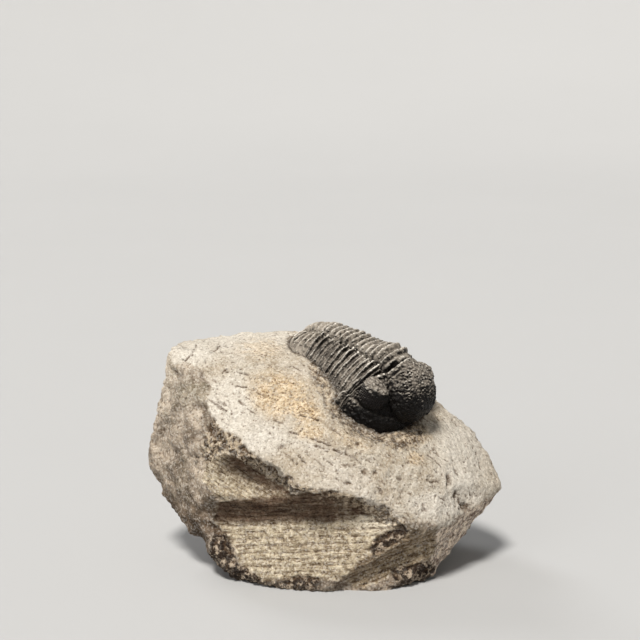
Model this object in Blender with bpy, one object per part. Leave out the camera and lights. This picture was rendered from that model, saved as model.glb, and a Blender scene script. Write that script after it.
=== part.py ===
"""A phacopid trilobite on the limestone block it was found in, at its real size.

The block is a faceted lump knocked out of a bed: the convex hull of its corners, with scoops struck from its
front, rough lumps on its broken sides and a flat foot that it stands on. The trilobite lies in a shallow socket
on the sloping top, head down to the right. Lengths here are in millimetres, and each finished mesh is scaled to
metres. X runs to the right, Y away from the front and Z up.
"""

import math

import bmesh
import bpy
import numpy as np
from mathutils import Matrix, Vector, noise

MM = 0.001
SOCKET_GAP = 0.5  # clearance left round the fossil in its socket

# Corners of the block, from the foot up
FOOT = [(-22, -12, 0), (-12, -19, 0), (0, -22, 0), (14, -22, 0), (23, -13.5, 0), (26, 4, 0), (24, 20, 0), (6, 27, 0),
        (-14, 25, 0), (-24, 8, 0)]
FRONT_TOE = [(-26.5, -15, 3.7), (-17, -21, 2), (-4, -24.5, 2.5), (12, -24.5, 2.5), (21, -21, 3), (28, -14, 2)]
LEFT_EDGE = [(-28, -14, 42), (-29, -17, 31), (-29.5, -18, 19), (-30.5, -15, 10)]
LEFT_SIDE = [(-45, 5, 45), (-47, 5, 36), (-48.5, 6, 30), (-48, 6, 24), (-44, 4, 15), (-37, 0, 11), (-32, -4, 7)]
FRONT_LIP = [(-22, -18, 39), (-14, -22, 33.5), (-6.5, -26, 29), (2, -27, 27.5), (9, -27, 26.5), (18, -26, 20.5),
             (28.5, -22, 17)]
SLOPE = [(-32.5, 4, 55), (-31.5, -4, 50.5), (-29.5, -9, 46), (-14, 8, 58.5), (-14, -4, 53.5), (-13, -14, 45),
         (-4, 0.5, 55.8), (2, -6, 51), (4, -10.5, 46.5), (4, -19, 39.5), (15, -14, 40),
         (18, -18, 34), (33, -2, 35.5), (32, -14, 27.5)]
CREST = [(-42.5, 3, 58.3), (-39, 12, 59.2), (-31.5, 17, 59.8), (-23, 21, 60.5), (-8, 22, 60.7), (8, 20, 57),
         (23, 14, 47.5), (30.5, 13, 42.5), (41, 11, 34.2), (44.8, 9, 28.5), (48.5, 2, 20.5)]
BACK = [(-36, 24, 50), (-18, 32, 46), (4, 34, 44), (24, 28, 38), (-43, 20, 28), (-26, 33, 22), (0, 36, 20),
        (22, 33, 18), (38, 24, 20), (45, 12, 18), (-34, 14, 6), (32, 14, 3)]

# The trilobite, tail to head along its own x, its left side along +y and its back along +z
BODY_ORIGIN = Vector((10.4, 4.0, 54.1))
HEADING, PITCH, ROLL = 38.4, 18.0, 3.0  # degrees: right of the front, head down, near side down
TAIL_TIP, TAIL_ROOT, NECK, HEAD_TIP = -25.3, -13.0, 7.5, 22.0
SEGMENTS, TAIL_RING = 11, 1.55  # rings of the thorax, and the length of each ring of the tail
HINGE_HEIGHT = 4.5  # the segments turn on each other at this height, so the body bends about it
BACK_BEND, NECK_BEND, TAIL_BEND, BEND_LENGTH = 7.0, 18.0, 11.0, 4.0  # degrees, and the run of neck and tail bends
CHEEK, CHEEK_MARGIN, CHEEK_TOP = 15.6, -6.0, 5.4  # half the head's width, and the heights its cheeks run between
BULB_CENTRE, BULB_RADII = (15.4, 0.0, 1.7), (8.4, 7.6, 8.3)
EYE_CENTRE, EYE_RADII = (12.8, 10.6, 0.9), (4.3, 3.1, 4.7)
BODY_FLOOR = -8.0

# The hollow cleared in the slope beside the head, from one end to the other
HOLLOW_START, HOLLOW_END, HOLLOW_DEPTH, HOLLOW_WIDTH = Vector((3.0, -10.2)), Vector((16.0, -10.6)), 3.0, 3.8

# Fineness of the meshes
BLOCK_VOXEL, BODY_VOXEL = 0.9, 0.4
BLOCK_TRIANGLES, TRILOBITE_TRIANGLES, SOCKET_TRIANGLES = 5200, 4200, 3000


def smooth(t):
    """0 below 0, 1 above 1, and an even curve between."""
    t = np.clip(t, 0.0, 1.0)
    return t * t * (3 - 2 * t)


def hump(t):
    """A round bump, 1 at t = 0."""
    return np.exp(-t * t)


def new_object(name, mesh):
    obj = bpy.data.objects.new(name, mesh)
    bpy.context.scene.collection.objects.link(obj)
    return obj


def object_from_bmesh(name, bm):
    mesh = bpy.data.meshes.new(name)
    bm.to_mesh(mesh)
    bm.free()
    return new_object(name, mesh)


def settle(obj):
    """Gives obj the mesh that its modifiers make, and clears them."""
    bpy.context.view_layer.update()
    graph = bpy.context.evaluated_depsgraph_get()
    mesh = bpy.data.meshes.new_from_object(obj.evaluated_get(graph))
    obj.modifiers.clear()
    obj.data = mesh


def boolean(obj, other, operation):
    modifier = obj.modifiers.new(other.name, "BOOLEAN")
    modifier.object = other
    modifier.operation = operation
    settle(obj)
    bpy.data.objects.remove(other)


def remesh(obj, voxel):
    modifier = obj.modifiers.new("voxels", "REMESH")
    modifier.mode = "VOXEL"
    modifier.voxel_size = voxel
    settle(obj)


def relax(obj, passes):
    modifier = obj.modifiers.new("relax", "SMOOTH")
    modifier.factor = 0.5
    modifier.iterations = passes
    settle(obj)


def thin_out(obj, triangles):
    modifier = obj.modifiers.new("thin out", "DECIMATE")
    modifier.ratio = triangles / (2 * len(obj.data.polygons))
    modifier.use_collapse_triangulate = True
    settle(obj)


def cut_below(obj, height):
    """Saws obj off flat at that height and closes the cut."""
    bm = bmesh.new()
    bm.from_mesh(obj.data)
    everything = bm.verts[:] + bm.edges[:] + bm.faces[:]
    cut = bmesh.ops.bisect_plane(
        bm, geom=everything, plane_co=(0, 0, height), plane_no=(0, 0, -1), clear_outer=True
    )
    rim = [e for e in cut["geom_cut"] if isinstance(e, bmesh.types.BMEdge)]
    bmesh.ops.triangle_fill(bm, edges=rim, use_beauty=True, use_dissolve=False, normal=(0, 0, -1))
    bmesh.ops.recalc_face_normals(bm, faces=bm.faces[:])
    bm.to_mesh(obj.data)
    bm.free()


def hull(name, points):
    bm = bmesh.new()
    for point in points:
        bm.verts.new(point)
    made = bmesh.ops.convex_hull(bm, input=bm.verts[:])
    loose = {v for v in made["geom_interior"] + made["geom_unused"] if isinstance(v, bmesh.types.BMVert)}
    bmesh.ops.delete(bm, geom=list(loose), context="VERTS")
    bmesh.ops.recalc_face_normals(bm, faces=bm.faces[:])
    return object_from_bmesh(name, bm)


def wedge(name, root_a, root_b, upper, lower, radius):
    """A cutter for a scoop: its rounded root runs from root_a to root_b, and its flat sides leave the root
    along upper and lower, which are directions in the block's frame."""
    reach = 60.0
    a, b = Vector(root_a), Vector(root_b)
    up, down = Vector(upper).normalized() * reach, Vector(lower).normalized() * reach
    bm = bmesh.new()
    rows = [[bm.verts.new(p + d) for d in (Vector(), up, up + down, down)] for p in (a, b)]
    bm.faces.new(rows[0])
    bm.faces.new(reversed(rows[1]))
    for i in range(4):
        j = (i + 1) % 4
        bm.faces.new((rows[0][i], rows[1][i], rows[1][j], rows[0][j]))
    bm.edges.ensure_lookup_table()
    root = [e for e in bm.edges if set(e.verts) == {rows[0][0], rows[1][0]}]
    bmesh.ops.bevel(bm, geom=root, offset=radius, offset_type="OFFSET", segments=6, profile=0.5, affect="EDGES")
    bmesh.ops.recalc_face_normals(bm, faces=bm.faces[:])
    return object_from_bmesh(name, bm)


def ball(name, centre, radii, turn):
    """An egg-shaped cutter, turned by the Euler angles turn, in degrees."""
    bm = bmesh.new()
    bmesh.ops.create_icosphere(bm, subdivisions=4, radius=1.0)
    euler = Matrix.Rotation(math.radians(turn[2]), 4, "Z")
    euler = euler @ Matrix.Rotation(math.radians(turn[1]), 4, "Y") @ Matrix.Rotation(math.radians(turn[0]), 4, "X")
    bm.transform(Matrix.Translation(centre) @ euler @ Matrix.Diagonal((*radii, 1.0)))
    return object_from_bmesh(name, bm)


def build_block():
    corners = FOOT + FRONT_TOE + LEFT_EDGE + LEFT_SIDE + FRONT_LIP + SLOPE + CREST + BACK
    # The foot is sawn at height 0 at the end, so its corners start a little lower
    block = hull("matrix", [(x, y, z if z > 0 else -2.0) for x, y, z in corners])
    long_scoop = wedge("long_scoop", (-45, -8.5, 18.5), (20, -20.5, 17.5), (0, -8, 8), (0, -5.5, -15), 5.0)
    corner_scoop = wedge("corner_scoop", (2, -21.5, 0.8), (40, -15.5, 17.8), (0.25, -6, 5), (0.1, -3.5, -9), 2.5)
    shoulder_scoop = ball("shoulder_scoop", (-25, -28, 30), (19, 13, 8.5), (0, 14, 12))
    head_hollow = ball("head_hollow", (22.3, -10.6, 44), (15, 13, 6), (0, 28, -33))
    for cutter in (long_scoop, corner_scoop, shoulder_scoop, head_hollow):
        boolean(block, cutter, "DIFFERENCE")
    remesh(block, BLOCK_VOXEL)
    relax(block, 2)
    roughen(block)
    remesh(block, BLOCK_VOXEL)
    thin_out(block, BLOCK_TRIANGLES)
    cut_below(block, 0.0)
    return block


def roughen(block):
    """Lumps and ledges, strong on the broken left side and back and slight on the cleaned slope, and the hollow
    beside the head."""
    run = HOLLOW_END - HOLLOW_START
    normals = [vertex.normal.copy() for vertex in block.data.vertices]
    for vertex, n in zip(block.data.vertices, normals):
        p = vertex.co.copy()
        slope = max(0.0, min(1.0, (n.z - 0.25) * 3.0)) * (1.0 if p.x > -32 else 0.3)
        front = max(0.0, min(1.0, (-n.y - 0.5) * 4.0)) * (1.0 if p.x > -29 else 0.0)
        rough = 1.0 - 0.75 * max(slope, front)
        lumps = noise.fractal(p * 0.085 + Vector((3.1, 7.7, 1.3)), 1.0, 2.1, 3)
        along = max(0.0, min(1.0, (p.xy - HOLLOW_START).dot(run) / run.length_squared))
        aside = (p.xy - HOLLOW_START - run * along).length
        cleared = HOLLOW_DEPTH * float(hump(aside / HOLLOW_WIDTH)) * float(smooth(n.z * 3.0))
        vertex.co = p + n * (lumps * 1.6 * rough) - Vector((0.0, 0.0, cleared))


def half_width(x):
    """Half the body's width at x, from the round tail to the round head."""
    tail = 10.2 * np.sqrt(np.clip(1 - (np.clip(TAIL_ROOT - x, 0, None) / (TAIL_ROOT - TAIL_TIP)) ** 2.2, 0, 1))
    thorax = np.interp(x, [TAIL_ROOT, -3, 4, NECK], [10.2, 12.4, 13.9, 14.2])
    return np.where(x < TAIL_ROOT, tail, thorax)


def ring_profile(phase):
    """A ring of the thorax's axis over one pitch: groove at its front, crest behind the middle, step at its back."""
    return smooth((phase - 0.08) / 0.5) * smooth((1.0 - phase) / 0.16)


def rib_profile(phase):
    """A flank rib over one pitch: two bands with a furrow between, and a step at the back."""
    bands = hump((phase - 0.25) / 0.16) * 0.75 + hump((phase - 0.72) / 0.2)
    return bands * smooth((1.0 - phase) / 0.12)


def vault(across):
    """The arch of the axis, 1 in the middle and 0 at its furrows."""
    return np.clip(1 - np.abs(across) ** 2.6, 0, 1) ** 0.6


def body_height(x, y):
    """Height of thorax and tail over the body's plane."""
    ay = np.abs(y)
    axis = np.interp(x, [TAIL_TIP + 0.8, TAIL_TIP + 2.5, TAIL_ROOT, 0, NECK], [0.5, 1.5, 3.9, 4.9, 5.6])
    furrow_z = np.interp(x, [TAIL_TIP, -20, TAIL_ROOT, -3, NECK], [1.0, 2.7, 4.1, 4.7, 4.8])
    edge_z = np.interp(x, [TAIL_TIP, TAIL_ROOT, NECK], [-0.3, -1.2, -5.2])
    crown_z = np.interp(x, [TAIL_TIP, -23.5, -22, -20, -18, -15, -10, -4, -1, 2, 5, NECK],
                        [0.5, 1.9, 3.1, 4.6, 5.5, 5.8, 6.3, 6.3, 6.5, 7.2, 8.1, 8.8])
    width = half_width(x)
    flank = np.clip((ay - axis) / np.maximum(width - axis, 0.3), 0.0, None)
    inside = np.clip(1 - np.clip(flank, 0, 1) ** 2.1, 0, 1) ** 0.85
    z = edge_z + (furrow_z - edge_z) * inside + np.clip(crown_z - furrow_z, 0, None) * vault(y / axis)

    pitch = (NECK - TAIL_ROOT) / SEGMENTS
    sweep = 0.035 * np.clip(ay - axis - 2.5, 0, None) ** 2
    in_tail = smooth((TAIL_ROOT - x) / 2.0)
    tail_sweep = TAIL_RING * np.clip(ay - axis, 0, None) * np.interp(x, [TAIL_TIP, TAIL_ROOT], [1.0, 0.12])
    travelled = (NECK - x - sweep) / pitch
    tail_travelled = (TAIL_ROOT - x - tail_sweep) / TAIL_RING
    phase = travelled - np.floor(travelled)
    tail_phase = tail_travelled - np.floor(tail_travelled)
    on_axis = smooth((axis - ay) / 0.7 + 0.5)
    margin = smooth((1.0 - flank) / 0.12)
    thorax_relief = on_axis * 1.05 * ring_profile(phase) + (1 - on_axis) * 0.75 * rib_profile(phase) * margin
    tail_relief = (on_axis * 0.65 * ring_profile(tail_phase)
                   + (1 - on_axis) * 0.6 * np.sin(math.pi * tail_phase) ** 2 * smooth((1.0 - flank) / 0.3))
    z += (1 - in_tail) * thorax_relief + in_tail * tail_relief * smooth((x - TAIL_TIP - 1.0) / 2.0)
    z -= 0.5 * hump((ay - axis) / 0.5) * smooth((x - TAIL_TIP - 1.5) / 2.0)
    beyond = np.clip(ay - width, 0, None) + np.clip(x - NECK - 1.5, 0, None) + np.clip(TAIL_TIP + 0.5 - x, 0, None)
    return z - 9.0 * beyond


def cheek_height(x, y):
    """Height of the head's cheeks and borders, without the bulb between the eyes."""
    ay = np.abs(y)
    back = NECK - 2.6 * np.clip((ay - 5.0) / 9.0, 0, None) ** 2
    forward = np.clip((x - 6.0) / 16.2, 0, None)
    spread = (forward ** 2.3 + (ay / CHEEK) ** 2.3) ** (1 / 2.3)
    z = CHEEK_MARGIN + (CHEEK_TOP - CHEEK_MARGIN) * np.clip(1 - spread ** 2.6, 0, 1) ** 0.75
    behind = x - back
    z += 0.55 * hump((spread - 0.95) / 0.045)
    z -= 0.7 * hump((spread - 0.86) / 0.05) * smooth((ay - 3.0) / 3.0)
    z += 0.75 * hump((behind - 0.8) / 0.65) * smooth((ay - 3.5) / 2.0)
    z -= 0.9 * hump((behind - 2.3) / 0.6) * smooth((ay - 3.5) / 2.0)
    z -= 9.0 * (np.clip(spread - 1, 0, None) * CHEEK + np.clip(-behind, 0, None) * 1.2)
    ring = 4.8 + 4.3 * vault(y / 5.6)
    ring += 0.8 * hump((x - NECK - 1.2) / 0.8) - 1.5 * hump((x - NECK - 2.9) / 0.55)
    ring += 0.3 * hump((x - NECK - 3.9) / 0.5) - 0.8 * hump((x - NECK - 4.9) / 0.5)
    ring -= 9.0 * (np.clip(NECK - x, 0, None) + np.clip(x - NECK - 7.0, 0, None) + np.clip(ay - 5.6, 0, None))
    return np.maximum(z, ring)


def body_slab(name, spacing):
    """The body without the bulb and the eyes: a grid raised to the height of the carapace over a flat floor."""
    xs = np.arange(TAIL_TIP - 2.0, HEAD_TIP + 3.0, spacing)
    ys = np.arange(-17.5, 17.5 + spacing / 2, spacing)
    x, y = np.meshgrid(xs, ys, indexing="ij")
    top = np.maximum(body_height(x, y), cheek_height(x, y))
    top = np.maximum(top, BODY_FLOOR - 1.5)
    bm = bmesh.new()
    upper = [[bm.verts.new((x[i, j], y[i, j], top[i, j])) for j in range(len(ys))] for i in range(len(xs))]
    floor = BODY_FLOOR - 3.0
    lower = [[bm.verts.new((x[i, j], y[i, j], floor)) for j in range(len(ys))] for i in range(len(xs))]
    last_i, last_j = len(xs) - 1, len(ys) - 1
    for i in range(last_i):
        for j in range(last_j):
            bm.faces.new((upper[i][j], upper[i + 1][j], upper[i + 1][j + 1], upper[i][j + 1]))
            bm.faces.new((lower[i][j], lower[i][j + 1], lower[i + 1][j + 1], lower[i + 1][j]))
    for i in range(last_i):
        bm.faces.new((upper[i][0], lower[i][0], lower[i + 1][0], upper[i + 1][0]))
        bm.faces.new((upper[i + 1][last_j], lower[i + 1][last_j], lower[i][last_j], upper[i][last_j]))
    for j in range(last_j):
        bm.faces.new((upper[0][j + 1], lower[0][j + 1], lower[0][j], upper[0][j]))
        bm.faces.new((upper[last_i][j], lower[last_i][j], lower[last_i][j + 1], upper[last_i][j + 1]))
    return object_from_bmesh(name, bm)


def head_bulb(name):
    """The glabella: a blunt bulb, widest near its front and narrowing to the neck."""
    bm = bmesh.new()
    bmesh.ops.create_icosphere(bm, subdivisions=5, radius=1.0)
    for vertex in bm.verts:
        x, y, z = vertex.co
        taper = 1.0 - 0.3 * float(smooth((0.3 - x) / 1.2))
        square = 1.0 + 0.06 * math.sin(2 * math.atan2(y, x)) ** 2
        shoulder = 1.0 + (0.18 * math.sin(2 * math.atan2(z, x)) ** 2 if x < 0 < z else 0.0)
        vertex.co = Vector((
            BULB_CENTRE[0] + BULB_RADII[0] * x * square * shoulder,
            BULB_CENTRE[1] + BULB_RADII[1] * y * taper * square,
            BULB_CENTRE[2] + BULB_RADII[2] * z * shoulder,
        ))
    return object_from_bmesh(name, bm)


def eye(name, side):
    """One eye: a kidney-shaped mound, its sight face steep and turned outwards, its lid flat on top."""
    bm = bmesh.new()
    bmesh.ops.create_icosphere(bm, subdivisions=4, radius=1.0)
    for vertex in bm.verts:
        x, y, z = vertex.co
        bow = 1.2 * x * x
        flat = min(z, 0.45 + 0.35 * z)
        vertex.co = Vector((
            EYE_CENTRE[0] + EYE_RADII[0] * x,
            side * (EYE_CENTRE[1] - bow + EYE_RADII[1] * y),
            EYE_CENTRE[2] + EYE_RADII[2] * flat,
        ))
    bmesh.ops.recalc_face_normals(bm, faces=bm.faces[:])
    return object_from_bmesh(name, bm)


def body_place():
    """Matrix from the trilobite's own frame to the block's."""
    heading, pitch, roll = (math.radians(angle) for angle in (HEADING, PITCH, ROLL))
    forward = Vector((math.cos(heading) * math.cos(pitch), -math.sin(heading) * math.cos(pitch), -math.sin(pitch)))
    level = Vector((math.sin(heading), math.cos(heading), 0.0))
    left = level * math.cos(roll) + forward.cross(level) * math.sin(roll)
    turn = Matrix((forward, left, forward.cross(left))).transposed().to_4x4()
    return Matrix.Translation(BODY_ORIGIN) @ turn


def bend(obj):
    """Bends the body over the block: a little along the thorax, more at the neck and at the root of the tail."""
    s = np.linspace(TAIL_TIP - 4.0, HEAD_TIP + 6.0, 400)
    thorax = BACK_BEND * np.clip((s - (TAIL_ROOT + NECK) / 2) / (NECK - TAIL_ROOT), -0.5, 0.5)
    neck = NECK_BEND * np.clip((s - NECK + 1.0) / BEND_LENGTH, 0, 1)
    tail = TAIL_BEND * np.clip((TAIL_ROOT + 1.0 - s) / BEND_LENGTH, 0, 1)
    angle = np.radians(thorax + neck - tail)
    step = s[1] - s[0]
    along, drop = np.cumsum(np.cos(angle)) * step, np.cumsum(np.sin(angle)) * step
    along, drop = along - np.interp(0.0, s, along), drop - np.interp(0.0, s, drop)
    for vertex in obj.data.vertices:
        x, y, z = vertex.co
        turn, lever = np.interp(x, s, angle), z - HINGE_HEIGHT
        vertex.co = (
            np.interp(x, s, along) + lever * math.sin(turn),
            y,
            HINGE_HEIGHT - np.interp(x, s, drop) + lever * math.cos(turn),
        )


def build_body(name):
    """The whole fossil as one fine closed mesh, before it is bent and placed."""
    body = body_slab(name, BODY_VOXEL)
    pieces = [head_bulb("bulb"), eye("right_eye", -1), eye("left_eye", 1)]
    bm = bmesh.new()
    for piece in [body] + pieces:
        bm.from_mesh(piece.data)
    bm.to_mesh(body.data)
    bm.free()
    for piece in pieces:
        bpy.data.objects.remove(piece)
    remesh(body, BODY_VOXEL)
    cut_below(body, BODY_FLOOR)
    bend(body)
    body.data.transform(body_place())
    return body


def swollen(name, obj, by):
    """A coarser copy of obj that stands clear of it all round."""
    copy = new_object(name, obj.data.copy())
    modifier = copy.modifiers.new("swell", "DISPLACE")
    modifier.strength = by
    modifier.mid_level = 0.0
    settle(copy)
    remesh(copy, 2 * BODY_VOXEL)
    thin_out(copy, SOCKET_TRIANGLES)
    return copy


def centre_on_origin(objects):
    """Moves the objects together, so that the middle of their foot-print is at the origin."""
    corners = np.array([vertex.co for obj in objects for vertex in obj.data.vertices])
    low, high = corners.min(axis=0), corners.max(axis=0)
    shift = Matrix.Translation((-(low[0] + high[0]) / 2, -(low[1] + high[1]) / 2, 0.0))
    for obj in objects:
        obj.data.transform(shift)


def finish(obj, material):
    obj.data.transform(Matrix.Scale(MM, 4))
    obj.data.materials.clear()
    obj.data.materials.append(material)
    obj.data.shade_flat()


def paint(name, colour, roughness):
    material = bpy.data.materials.new(name)
    material.use_nodes = True
    shader = material.node_tree.nodes["Principled BSDF"]
    shader.inputs["Base Color"].default_value = (*colour, 1.0)
    shader.inputs["Roughness"].default_value = roughness
    shader.inputs["Metallic"].default_value = 0.0
    return material


for old in list(bpy.data.objects):
    bpy.data.objects.remove(old)

matrix = build_block()
trilobite = build_body("trilobite")
socket = swollen("socket", trilobite, SOCKET_GAP)
thin_out(trilobite, TRILOBITE_TRIANGLES)
boolean(matrix, socket, "DIFFERENCE")
centre_on_origin([matrix, trilobite])
finish(matrix, paint("limestone", (0.55, 0.47, 0.36), 0.9))
finish(trilobite, paint("fossil shell", (0.06, 0.055, 0.05), 0.45))
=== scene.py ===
"""A trilobite on its limestone block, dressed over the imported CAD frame.

The block and the fossil are shaped in millimetres, in the block's own frame, and each finished mesh is brought to
metres in the frame of the CAD.
"""

import math

import bpy
import numpy as np
from mathutils import Matrix, Vector, kdtree, noise


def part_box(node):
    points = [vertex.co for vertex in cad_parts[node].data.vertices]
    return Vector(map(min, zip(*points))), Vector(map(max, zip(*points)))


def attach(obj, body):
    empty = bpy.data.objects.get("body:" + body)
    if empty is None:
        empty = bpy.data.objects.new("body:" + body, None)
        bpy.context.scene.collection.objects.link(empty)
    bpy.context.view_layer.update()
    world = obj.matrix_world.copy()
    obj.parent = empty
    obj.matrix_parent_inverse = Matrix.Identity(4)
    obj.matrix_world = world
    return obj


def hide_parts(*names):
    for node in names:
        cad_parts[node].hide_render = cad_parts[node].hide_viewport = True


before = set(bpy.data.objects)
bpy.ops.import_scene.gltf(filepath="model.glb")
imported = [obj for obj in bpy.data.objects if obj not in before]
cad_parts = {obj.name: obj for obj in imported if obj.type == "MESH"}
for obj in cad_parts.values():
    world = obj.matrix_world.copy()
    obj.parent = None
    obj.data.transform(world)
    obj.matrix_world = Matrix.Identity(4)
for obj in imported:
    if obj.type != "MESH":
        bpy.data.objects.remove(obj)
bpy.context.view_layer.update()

# Camera: a long lens about 0.4 m in front of the block and a little above it, so the slope with the fossil and the
# cut front both show.
MM = 0.001
CENTRING = Vector((0.295, -5.061, 0.0))  # mm, from the block's own frame to the CAD's
PHOTO_SIDE, FOCAL_PIXELS, SENSOR = 640, 1556.0, 36.0
CAMERA_PLACE, CAMERA_DIP = Vector((-1.6, -405.7, 138.7)), math.radians(10.0)

bpy.ops.object.select_all(action="DESELECT")
bpy.ops.object.camera_add(location=(CAMERA_PLACE + CENTRING) * MM, rotation=(math.pi / 2 - CAMERA_DIP, 0.0, 0.0))
camera = bpy.context.object
camera.data.sensor_width = SENSOR
camera.data.lens = FOCAL_PIXELS / PHOTO_SIDE * SENSOR
camera.data.clip_start = 0.02
bpy.context.scene.camera = camera


# The limestone block: a lump knocked out of its bed, with a cleaned slope on top, a weathered left side and back,
# and three smooth scoops ground into its front. It is one piece of stone, sawn flat underneath to stand.
FOOT = [(-22, -12, 0), (-12, -19, 0), (0, -22, 0), (14, -22, 0), (23, -13.5, 0), (26, 4, 0), (24, 20, 0), (6, 27, 0),
        (-14, 25, 0), (-24, 8, 0)]
FRONT_TOE = [(-26.5, -15, 3.7), (-17, -21, 2), (-4, -24.5, 2.5), (12, -24.5, 2.5), (21, -21, 3), (28, -14, 2)]
LEFT_EDGE = [(-28, -14, 42), (-29, -17, 31), (-29.5, -18, 19), (-30.5, -15, 10)]
LEFT_SIDE = [(-45, 5, 45), (-47, 5, 36), (-48.5, 6, 30), (-48, 6, 24), (-44, 4, 15), (-37, 0, 11), (-32, -4, 7)]
FRONT_LIP = [(-22, -18, 39), (-14, -22, 33.5), (-6.5, -26, 29), (2, -27, 27.5), (9, -27, 26.5), (18, -26, 20.5),
             (28.5, -22, 17)]
SLOPE = [(-32.5, 4, 55), (-31.5, -4, 50.5), (-29.5, -9, 46), (-14, 8, 58.5), (-14, -4, 53.5), (-13, -14, 45),
         (-4, 0.5, 55.8), (2, -6, 51), (4, -10.5, 46.5), (4, -19, 39.5), (15, -14, 40),
         (18, -18, 34), (33, -2, 35.5), (32, -14, 27.5)]
CREST = [(-42.5, 3, 58.3), (-39, 12, 59.2), (-31.5, 17, 59.8), (-23, 21, 60.5), (-8, 22, 60.7), (8, 20, 57),
         (23, 14, 47.5), (30.5, 13, 42.5), (41, 11, 34.2), (44.8, 9, 28.5), (48.5, 2, 20.5)]
BACK = [(-36, 24, 50), (-18, 32, 46), (4, 34, 44), (24, 28, 38), (-43, 20, 28), (-26, 33, 22), (0, 36, 20),
        (22, 33, 18), (38, 24, 20), (45, 12, 18), (-34, 14, 6), (32, 14, 3)]
ROUGH_VOXEL, FINE_VOXEL = 0.9, 0.46
CUTTER_REACH = 60.0

# Outlines of the block's surfaces, as the camera sees them, in pixels of a 640 pixel frame
CLEANED_TOP = [(165, 352), (172, 340), (200, 325), (300, 315), (420, 330), (450, 385), (500, 440), (515, 492),
               (490, 497), (470, 508), (455, 520), (440, 530), (405, 525), (390, 517), (377, 512), (365, 503),
               (350, 494), (325, 492), (305, 488), (290, 479), (275, 470), (258, 460), (244, 449), (239, 437),
               (222, 430), (213, 418), (208, 405), (207, 396), (213, 388), (205, 376), (198, 369), (185, 362),
               (176, 366)]
CRUMBLY_EDGE = [(214, 417), (224, 430), (240, 436), (246, 449), (259, 459), (275, 469), (291, 479), (306, 487),
                (318, 491), (300, 493), (284, 487), (262, 474), (240, 460), (226, 452), (214, 462), (203, 468),
                (202, 446), (208, 425)]
CHIPPED_LIP = [(318, 491), (352, 494), (368, 501), (385, 510), (404, 522), (403, 532), (386, 524), (368, 514),
               (350, 504), (318, 497)]
SHOULDER_CUT = [(222, 452), (240, 459), (262, 473), (285, 487), (292, 493), (270, 497), (240, 499), (222, 501),
                (211, 489), (202, 480), (206, 465)]
LONG_CUT = [(218, 503), (245, 499), (290, 494), (330, 493), (352, 496), (366, 505), (382, 514), (398, 524),
            (404, 530), (398, 536), (380, 545), (372, 552), (360, 563), (345, 579), (262, 581), (242, 566),
            (234, 547), (218, 532), (214, 518)]
CORNER_CUT = [(345, 581), (359, 562), (374, 552), (390, 544), (406, 535), (434, 530), (437, 538), (436, 548),
              (430, 560), (420, 566), (395, 571), (385, 579), (365, 590)]
RIGHT_FACET = [(437, 532), (455, 521), (470, 509), (490, 499), (505, 489), (440, 580), (424, 574), (436, 548)]
BROKEN_STRIP = [(400, 520), (420, 522), (438, 523), (436, 531), (420, 533), (406, 536)]
CRUST_PATCHES = [
    [(213, 531), (226, 533), (233, 548), (240, 564), (262, 577), (258, 587), (240, 583), (222, 574), (209, 556)],
    [(286, 580), (300, 574), (318, 577), (322, 584), (300, 588), (284, 587)],
    [(368, 549), (375, 539), (387, 532), (400, 526), (410, 530), (406, 538), (392, 546), (376, 554)],
    [(390, 571), (405, 566), (428, 561), (436, 567), (430, 577), (410, 580), (396, 583)],
]
BY_THE_FOSSIL = [(310, 358), (318, 364), (333, 388), (337, 404), (350, 417), (365, 429), (383, 434), (400, 431),
                 (420, 418), (428, 430), (420, 447), (400, 451), (375, 444), (350, 431), (333, 418), (322, 400),
                 (312, 378)]
DISHES = [((338, 402), 1.2, 12), ((347, 408), 2.2, 13), ((357, 415), 3.0, 14), ((367, 420), 3.2, 14),
          ((377, 424), 2.8, 14), ((386, 427), 1.8, 13), ((291, 346), 0.9, 10)]  # place, depth in mm, width
SHAVED = [((157, 487), 1.8, 8), ((168, 511), 0.3, 9), ((184, 526), 0.8, 9), ((200, 540), 1.3, 9),
          ((226, 334), 0.5, 16), ((152, 459), -0.9, 8), ((174, 346), -0.9, 7), ((182, 342), -0.6, 8)]  # as above
STAINS = [((282, 396), (30, 22), 0.35, 0.9), ((298, 406), (26, 14), 0.5, 1.0), ((310, 432), (16, 9), 0.2, 0.7),
          ((262, 348), (24, 10), 0.0, 0.45), ((300, 345), (12, 8), 0.0, 0.5), ((410, 436), (18, 10), -0.2, 0.9),
          ((416, 458), (9, 7), 0.0, 0.7), ((352, 440), (22, 8), 0.4, 0.4)]  # centre, radii, turn, strength
# Pale patches of the stone on the slope's left, and painted light that brightens the slope's right side and the long
# cut's upper right
PALE_AND_PAINTED_LIGHT_SPOTS = [((228, 408), (26, 34)), ((195, 352), (22, 14)), ((250, 342), (60, 12)), ((262, 440), (22, 14)),
            ((462, 455), (26, 44)), ((440, 505), (30, 14)), ((380, 524), (26, 9))]  # centre, radii
CRACKS = [[(227, 371), (236, 372), (247, 375)], [(232, 384), (239, 387), (247, 386)],
          [(299, 415), (308, 417), (319, 420)], [(275, 421), (283, 423)], [(290, 431), (297, 434), (302, 427)],
          [(296, 454), (301, 457), (306, 462)], [(314, 446), (328, 449), (345, 453), (354, 457), (362, 463)],
          [(427, 480), (432, 483), (438, 483)], [(436, 496), (445, 499)], [(306, 437), (316, 441), (330, 445)],
          [(456, 490), (459, 499), (465, 508), (469, 515)], [(322, 371), (327, 377), (334, 379)],
          [(186, 360), (193, 352), (197, 346)], [(210, 352), (221, 346)], [(222, 372), (228, 369)],
          [(476, 452), (480, 460), (481, 468)], [(455, 466), (459, 474)], [(324, 383), (331, 387)],
          [(329, 411), (337, 408), (345, 407)], [(352, 424), (360, 428), (369, 433)],
          [(372, 431), (380, 437), (388, 440)], [(395, 441), (407, 444), (416, 441)],
          [(386, 434), (393, 437)], [(400, 433), (409, 431)], [(336, 394), (341, 400), (343, 405)]]
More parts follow.
